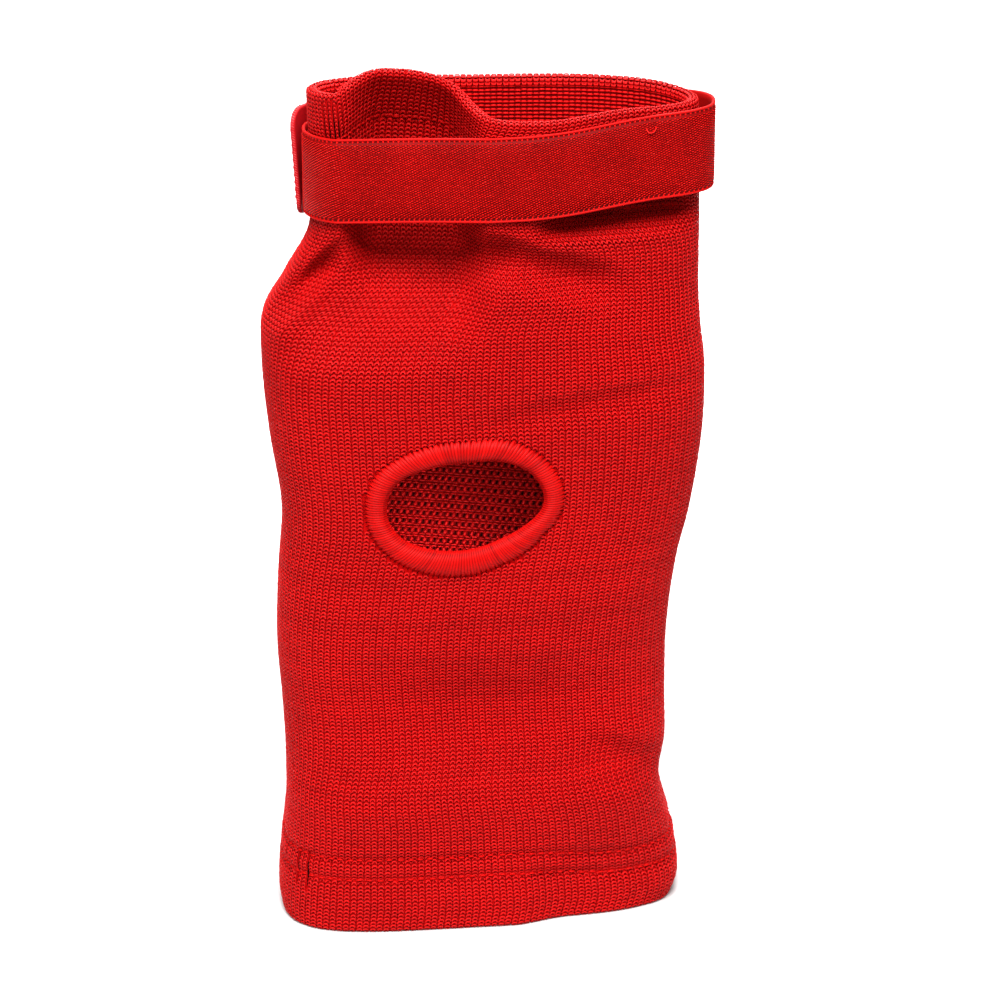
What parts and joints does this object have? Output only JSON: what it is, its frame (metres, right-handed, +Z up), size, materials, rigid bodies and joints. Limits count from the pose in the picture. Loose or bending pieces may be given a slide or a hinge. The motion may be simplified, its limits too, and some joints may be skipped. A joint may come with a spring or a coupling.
{
  "type": "elbow guard",
  "caption": "Slip-on knitted elbow sleeve, open at both ends, with a stitched oval hole at the inner elbow and an elastic band closed by a hook tab round its top.",
  "frame": {"origin": "on the surface that the sleeve stands on, under the middle of its bounding box", "axes": "+Z up along the sleeve, from the bottom hem to the banded top; -Y out of the front wall with the oval hole; +X to the right seen from the front"},
  "size_m": [0.1326, 0.0703, 0.2574],
  "materials": {
    "rib_knit": "red polyester and elastane knit, matt with soft yarn highlights",
    "overcast_thread": "bright red filament thread, satin",
    "woven_elastic": "red narrow woven elastic, matt",
    "hook_tape": "red nylon hook tape, slightly pink at the edges"
  },
  "bodies": {
    "root": {"sleeve": "rib_knit", "hole_rim": "overcast_thread", "elastic_band": "woven_elastic", "hook_tab": "hook_tape"}
  },
  "joints": []
}
